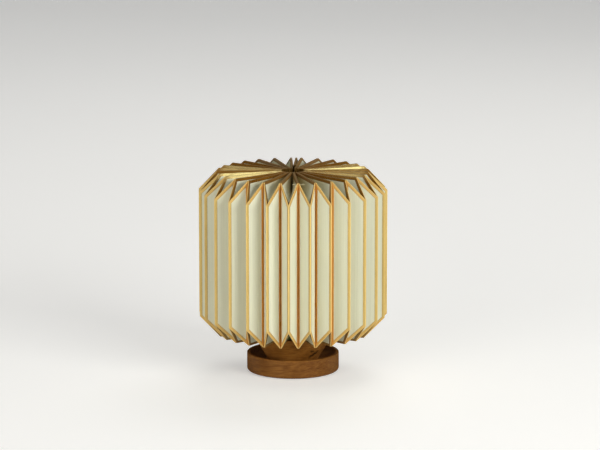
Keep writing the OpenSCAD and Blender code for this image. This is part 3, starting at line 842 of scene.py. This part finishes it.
def build_page(shade, angle, hub, foot, finishes):
    """One page: two leaves that mirror each other across the page's own plane."""
    lower, side, upper = fold_leaf(shade, angle, hub, foot)
    for panel, outer, cuts in ((side, 1, 0), (upper, -1, FLAP_CUTS), (lower, -1, FLAP_CUTS)):
        for finish in finishes:
            panel.data.materials.append(finish)
        if panel != side:
            # a hair off the side panel, so that no two faces lie in one plane
            edit(panel)
            move(x=-CREASE_GAP)
            done()
        build_panel(panel, shade, outer, cuts)
    select(side, lower, upper)
    bpy.ops.object.join()
    edit(side)
    bpy.ops.mesh.bisect(plane_co=ORIGIN, plane_no=(0, 1, 0), clear_inner=True, threshold=0.0000001)
    done()
    mirror = side.modifiers.new("Second leaf", "MIRROR")
    mirror.use_axis = (False, True, False)
    mirror.use_mirror_merge = True
    mirror.merge_threshold = 0.000002
    bpy.ops.object.modifier_apply(modifier=mirror.name)
    edit(side)
    outward()
    done()
    smooth(side, 20)
    return side


class BOOKLAMP_OT_pages(bpy.types.Operator):
    """Fold an open and a shut page of the shade, and set their copies round the spine"""

    bl_idname = "book_lamp.pages"
    bl_label = "Pages"

    def execute(self, context):
        shade = context.scene.book_lamp_shade
        finish = context.scene.book_lamp_finishes
        finishes = (veneer_material(finish, shade.border), paper_material(finish))
        wide = page_angle(shade, PAGES[0])
        open_page = build_page(shade, wide, shade.hub_radius, shade.foot_radius, finishes)
        shut_page = build_page(shade, shade.shut, shade.shut_radius, shade.shut_radius, finishes)
        seat_copies(shade, open_page, shut_page, "leaves_", "pages", height=PAGE_FOOT)
        return {"FINISHED"}


# ---- Threads -----------------------------------------------------------------------------------

STRANDS = 3
STRAND_STEP = 0.0011  # along the thread, from one strand to the next
CUTS_PER_STRAND = 4
GROOVE = 0.22  # depth between the strands, as a share of the thread's radius
ARC_GAP = math.radians(0.3)
TIE_DEPTH = 0.002  # of the tie inside the inner folds
TIE_CUTS = 60
UP = Vector((0, 0, 1))


def twist(piece, strands, centre):
    """Pulls the round surface in between the strands, which pass the same point this many times.
    centre(co) gives the nearest point of the thread's middle line, how far along the thread that lies,
    as a share of its length, and two directions across it."""
    for vertex in piece.data.vertices:
        point, share, side, up = centre(vertex.co)
        arm = vertex.co - point
        angle = math.atan2(arm.dot(up), arm.dot(side)) + share * strands * 2 * math.pi / STRANDS
        vertex.co = point + arm * ((1 - GROOVE) + GROOVE * abs(math.cos(angle * STRANDS / 2)))


def thread_arc(radius, height, page_width, thickness, cotton):
    """The length of binding thread in one page: an arc round the axis, with its middle on +X and a
    hair's gap left to the next page's."""
    angle = page_width - ARC_GAP
    strands = max(1, round(radius * angle / STRAND_STEP))
    arc = begin(
        bpy.ops.mesh.primitive_circle_add, "thread_arc",
        vertices=12, radius=thickness / 2, fill_type="NGON",
        location=(radius * math.cos(angle / 2), -radius * math.sin(angle / 2), height),
        rotation=(math.pi / 2, 0, -angle / 2),
    )
    bpy.ops.mesh.spin(steps=strands * CUTS_PER_STRAND, angle=angle, center=ORIGIN, axis=(0, 0, -1))
    outward()
    done()

    def on_arc(p):
        out = Vector((p.x, p.y, 0)).normalized()
        return out * radius + UP * height, math.atan2(p.y, p.x) / angle, out, UP

    twist(arc, strands, on_arc)
    smooth(arc)
    arc.data.materials.append(cotton)
    return arc


class BOOKLAMP_OT_threads(bpy.types.Operator):
    """Twist the two binding threads, page by page, and the tie through the seam"""

    bl_idname = "book_lamp.threads"
    bl_label = "Threads"

    def execute(self, context):
        sizes = context.scene.book_lamp_threads
        shade = context.scene.book_lamp_shade
        tint = context.scene.book_lamp_finishes.thread
        cotton = fibre_material(
            "cotton thread", tint, shade=0.7, fibre_width=0.00012, depth=0.00005, roughness=0.85,
            Sheen_Weight=0.25,
        )
        for prefix, node in (("upper_thread_", "top_thread"), ("lower_thread_", "bottom_thread")):
            low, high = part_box(node)
            radius, height = (high.x - low.x - sizes.ring) / 2, (low.z + high.z) / 2
            arcs = [
                thread_arc(radius, height, page_angle(shade, page), sizes.ring, cotton)
                for page in (PAGES[0], SHUT[0])
            ]
            seat_copies(shade, *arcs, prefix, "thread", node)
        self.tie(sizes, shade, cotton)
        return {"FINISHED"}

    def tie(self, sizes, shade, cotton):
        low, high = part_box("seam_tie")
        seam = shade.seam - math.pi / 2
        along = Vector((-math.sin(seam), math.cos(seam), 0))
        out = Vector((math.cos(seam), math.sin(seam), 0))
        height = (low.z + high.z) / 2
        middle_of_tie = out * (shade.fold_radius - TIE_DEPTH) + UP * height
        rod = begin(
            bpy.ops.mesh.primitive_cylinder_add, "seam_thread",
            vertices=12, radius=sizes.tie / 2, depth=sizes.tie_length, end_fill_type="TRIFAN",
            location=middle_of_tie, rotation=(math.pi / 2, 0, seam),
        )
        pick(rod, "EDGE", lambda e: abs(span(e).dot(along)) > sizes.tie_length / 2)
        bpy.ops.mesh.subdivide(number_cuts=TIE_CUTS)
        outward()
        done()

        def on_rod(p):
            share = (p - middle_of_tie).dot(along) / sizes.tie_length
            return middle_of_tie + along * share * sizes.tie_length, share + 0.5, out, UP

        twist(rod, round(sizes.tie_length / STRAND_STEP), on_rod)
        knot = begin(
            bpy.ops.mesh.primitive_ico_sphere_add, "knot", radius=sizes.tie, subdivisions=3,
            location=middle_of_tie + along * sizes.tie_length / 2,
        )
        select(rod, knot)
        bpy.ops.object.join()
        smooth(rod)
        rod.data.materials.append(cotton)
        page, heading = next(headings(shade))
        seat(rod, shade, page, heading, "thread", "seam_tie")


# ---- Carried-over solids -----------------------------------------------------------------------

RIM_WIDTH = 0.003  # of the base's wall
CRACK = ((0.015, 0.0177), (0.0278, 0.0253), (0.0196, 0.025))  # start, end and knot, as (x, z)


class BOOKLAMP_OT_wood(bpy.types.Operator):
    """Finish the turned base and bowl"""

    bl_idname = "book_lamp.wood"
    bl_label = "Base and bowl"

    def execute(self, context):
        finish = context.scene.book_lamp_finishes
        low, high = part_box("base_dish")
        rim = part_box("bowl")[1]
        base = wood_material(
            finish, "base wood", shift=(0.0, 0.034, 0.041),
            edges=((high.x, low.z), (high.x, high.z), (high.x - RIM_WIDTH, high.z)),
        )
        # painted light: the bowl's wood is made lighter, for light that the shade keeps off it
        bowl = wood_material(
            finish, "bowl wood", shift=(0.021, 0.046, -0.033),
            edges=((rim.x, rim.z),), painted_light_gain=1.5, crack=CRACK,
        )
        dress(base, "base_dish")
        dress(bowl, "bowl")
        return {"FINISHED"}


class BOOKLAMP_OT_fittings(bpy.types.Operator):
    """Finish the rear panel, the button, the socket and the charge light"""

    bl_idname = "book_lamp.fittings"
    bl_label = "Rear fittings"

    def execute(self, context):
        finish = context.scene.book_lamp_finishes
        dress(plain_material("panel plastic", finish.plastic, 0.5), "rear_panel")
        dress(plain_material("button plastic", shifted(finish.plastic, 1.12), 0.38), "power_button")
        dress(plain_material("socket steel", (0.62, 0.62, 0.64), 0.28, Metallic=1.0), "usb_socket")
        dress(plain_material("switch plastic", (0.03, 0.03, 0.03), 0.45), "switch_body")
        dress(plain_material("light lens", (0.85, 0.86, 0.84), 0.15, Coat_Weight=0.5), "charge_light")
        return {"FINISHED"}


class BOOKLAMP_OT_underside(bpy.types.Operator):
    """Finish the felt pad, the cover and the screws"""

    bl_idname = "book_lamp.underside"
    bl_label = "Underside"

    def execute(self, context):
        tint = context.scene.book_lamp_finishes.felt
        felt = fibre_material(
            "felt", tint, shade=2.2, fibre_width=0.0004, depth=0.0002, roughness=0.95,
            Sheen_Weight=0.4, Sheen_Roughness=0.5,
        )
        dress(felt, "base_pad")
        dress(plain_material("cover aluminium", (0.60, 0.60, 0.62), 0.38, Metallic=1.0), "base_cover")
        screws = plain_material("zinc screws", (0.56, 0.55, 0.52), 0.3, Metallic=1.0)
        dress(screws, "cover_screws", "board_screws", "bowl_screws", "plate_screws")
        return {"FINISHED"}


class BOOKLAMP_OT_light(bpy.types.Operator):
    """Finish the diffuser, the LED plate and what is wired to it"""

    bl_idname = "book_lamp.light"
    bl_label = "Light and electronics"

    def execute(self, context):
        opal = plain_material(
            "opal diffuser", (0.86, 0.85, 0.80), 0.35, patch=0.02, amount=0.1,
            Subsurface_Weight=0.3, Subsurface_Scale=0.003,
        )
        dress(opal, "diffuser")
        dress(plain_material("LED plate", (0.66, 0.66, 0.68), 0.35, Metallic=1.0), "led_plate")
        for node, name, tint, roughness in (
            ("led_board", "white solder mask", (0.82, 0.82, 0.80), 0.35),
            ("leds", "phosphor", (0.80, 0.58, 0.08), 0.4),
            ("main_board", "green solder mask", (0.01, 0.10, 0.035), 0.3),
            ("board_parts", "chips", (0.02, 0.02, 0.022), 0.42),
            ("board_spacers", "nylon", (0.74, 0.73, 0.68), 0.45),
            ("battery", "battery wrap", (0.16, 0.22, 0.30), 0.3),
            ("battery_leads", "red insulation", (0.34, 0.01, 0.008), 0.42),
            ("led_leads", "white insulation", (0.64, 0.64, 0.62), 0.42),
        ):
            dress(plain_material(name, tint, roughness), node)
        foam = plain_material(
            "foam", (0.03, 0.03, 0.03), 0.9, patch=0.01, amount=0.4, grit=0.0009, depth=0.0002
        )
        dress(foam, "battery_pad")
        return {"FINISHED"}


# ---- Stage -------------------------------------------------------------------------------------

FLOOR_SIZE = 12
FLOOR_GAP = 0.0001  # under the felt pad, so that the two don't lie in one plane
BACKDROP_HEIGHT = 5
BACKDROP_BEND = 2.5
LAMP_AWAY = 2.6
LAMP_TARGET = Vector((0, 0, 0.1))


class BOOKLAMP_OT_stage(bpy.types.Operator):
    """Set up the floor, the lamps and the camera"""

    bl_idname = "book_lamp.stage"
    bl_label = "Stage"

    def execute(self, context):
        stage = context.scene.book_lamp_stage
        self.camera(context, stage)
        self.floor(stage, context.scene.book_lamp_finishes.floor)
        self.lamps(context, stage)
        self.sky(context, stage.sky)
        context.scene.view_settings.view_transform = "Standard"
        return {"FINISHED"}

    def camera(self, context, stage):
        data = bpy.data.cameras.new("camera")
        data.lens = stage.lens
        data.sensor_width = 36
        data.sensor_fit = "HORIZONTAL"
        data.clip_end = 100
        camera = bpy.data.objects.new("camera", data)
        camera.location = (stage.camera_x, -stage.camera_away, stage.camera_height)
        camera.rotation_euler = (math.pi / 2 - stage.camera_pitch, 0, 0)
        context.scene.collection.objects.link(camera)
        context.scene.camera = camera

    def floor(self, stage, tint):
        """A floor just under the table's height, which bends up into a backdrop."""
        back = FLOOR_SIZE / 2 - TOLERANCE
        below = (0, 0, -FLOOR_GAP)
        sweep = begin(bpy.ops.mesh.primitive_plane_add, "floor", size=FLOOR_SIZE, location=below)
        pick(sweep, "EDGE", lambda e: middle(e).y > back)
        extrude(z=BACKDROP_HEIGHT)
        pick(sweep, "EDGE", lambda e: middle(e).y > back and middle(e).z < TOLERANCE)
        bpy.ops.mesh.bevel(offset=BACKDROP_BEND, segments=16)
        smooth(sweep)
        pale = plain_material("floor", tint, 0.7, patch=0.6, amount=0.06)
        self.glow(pale.node_tree, stage.glow, tint)
        sweep.data.materials.append(pale)

    def glow(self, tree, strength, tint):
        """Makes the floor paler to the eye, and in gloss and glass, without lighting the lamp."""
        path = tree.nodes.new("ShaderNodeLightPath").outputs
        seen = maths(tree, "MAXIMUM", path["Is Camera Ray"], path["Is Glossy Ray"])
        seen = maths(tree, "MAXIMUM", seen, path["Is Transmission Ray"])
        shader = tree.nodes["Principled BSDF"]
        shader.inputs["Emission Color"].default_value = rgba(tint)
        join(tree, times(tree, seen, strength), shader.inputs["Emission Strength"])

    def lamps(self, context, stage):
        """Each lamp has a heading to the right of the front and a height, both in degrees."""
        for name, heading, height, size, power, tint in (
            ("key", 46, 13, (1.1, 2.0), stage.key, (1.0, 1.0, 0.97)),
            ("glint", 40, 19, (1.7, 0.6), stage.glint, (1.0, 0.99, 0.94)),
            ("fill", -34, 8, (2.0, 1.6), stage.fill, (1.0, 0.96, 0.91)),
            ("rear", 165, 50, (1.6, 1.2), stage.rear, (1.0, 0.98, 0.95)),
            ("top", 10, 84, (1.4, 1.4), stage.top, (1.0, 0.98, 0.92)),
        ):
            data = bpy.data.lights.new(name, "AREA")
            data.shape = "RECTANGLE"
            data.size, data.size_y = size
            data.energy = power
            data.color = tint
            lamp = bpy.data.objects.new(name, data)
            round_axis = Matrix.Rotation(math.radians(heading), 4, "Z")
            raised = Matrix.Rotation(-math.radians(height), 4, "X")
            lamp.location = round_axis @ raised @ Vector((0, -LAMP_AWAY, 0)) + LAMP_TARGET
            lamp.rotation_euler = (LAMP_TARGET - lamp.location).to_track_quat("-Z", "Y").to_euler()
            context.scene.collection.objects.link(lamp)

    def sky(self, context, strength):
        world = bpy.data.worlds.new("soft sky")
        world.use_nodes = True
        background = world.node_tree.nodes["Background"]
        background.inputs["Color"].default_value = (1.0, 0.99, 0.97, 1.0)
        background.inputs["Strength"].default_value = strength
        context.scene.world = world


# ---- Add-on ------------------------------------------------------------------------------------

OPERATORS = (
    BOOKLAMP_OT_stage,
    BOOKLAMP_OT_pages,
    BOOKLAMP_OT_threads,
    BOOKLAMP_OT_wood,
    BOOKLAMP_OT_fittings,
    BOOKLAMP_OT_underside,
    BOOKLAMP_OT_light,
)
GROUPS = {
    "book_lamp_shade": ShadeSizes,
    "book_lamp_threads": ThreadSizes,
    "book_lamp_finishes": Finishes,
    "book_lamp_stage": StageSizes,
}


class BOOKLAMP_PT_panel(bpy.types.Panel):
    """Lists the lamp's pieces, sizes and colours"""

    bl_idname = "BOOKLAMP_PT_panel"
    bl_label = "Book Lamp"
    bl_space_type = "VIEW_3D"
    bl_region_type = "UI"
    bl_category = "Book Lamp"

    def draw(self, context):
        for operator in OPERATORS:
            self.layout.operator(operator.bl_idname)
        for name, group in GROUPS.items():
            box = self.layout.box()
            for field in group.__annotations__:
                box.prop(getattr(context.scene, name), field)


CLASSES = (*GROUPS.values(), *OPERATORS, BOOKLAMP_PT_panel)


def register():
    for cls in CLASSES:
        bpy.utils.register_class(cls)
    for name, group in GROUPS.items():
        setattr(bpy.types.Scene, name, PointerProperty(type=group))


def unregister():
    for name in GROUPS:
        delattr(bpy.types.Scene, name)
    for cls in reversed(CLASSES):
        bpy.utils.unregister_class(cls)


def main():
    register()
    bpy.ops.book_lamp.stage()
    bpy.ops.book_lamp.pages()
    bpy.ops.book_lamp.threads()
    bpy.ops.book_lamp.wood()
    bpy.ops.book_lamp.fittings()
    bpy.ops.book_lamp.underside()
    bpy.ops.book_lamp.light()


if __name__ == "__main__":
    main()
